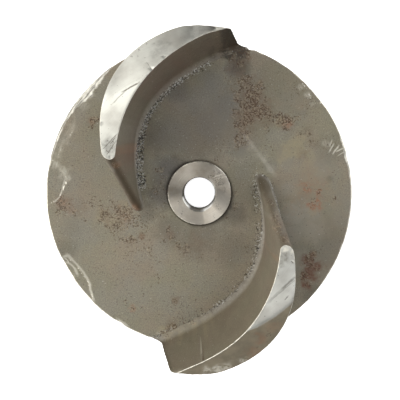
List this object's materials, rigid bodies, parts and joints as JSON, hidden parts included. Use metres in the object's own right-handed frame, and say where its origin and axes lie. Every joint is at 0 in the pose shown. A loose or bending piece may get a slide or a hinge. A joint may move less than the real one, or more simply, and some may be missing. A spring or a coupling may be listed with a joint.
{
  "type": "trash pump impeller",
  "caption": "Semi-open cast impeller of a trash pump: a flat disc with curved, thick, tall vanes swept out to its rim, a turned hub face and a stepped bore.",
  "frame": {"origin": "on the axis of rotation, in the plane of the rear hub face that the part stands on", "axes": "+Z along the axis of rotation towards the inlet side, where the vanes stand; +X passes 13 degrees from the foot of one vane's nose"},
  "size_m": [0.248, 0.248, 0.091],
  "materials": {
    "cast_iron": "weathered as-cast iron, olive grey-brown with small rust spots and pits",
    "turned_face": "bright lathe-turned iron with fine rings and scratches"
  },
  "bodies": {
    "root": {"impeller_casting": "cast_iron"}
  },
  "joints": []
}
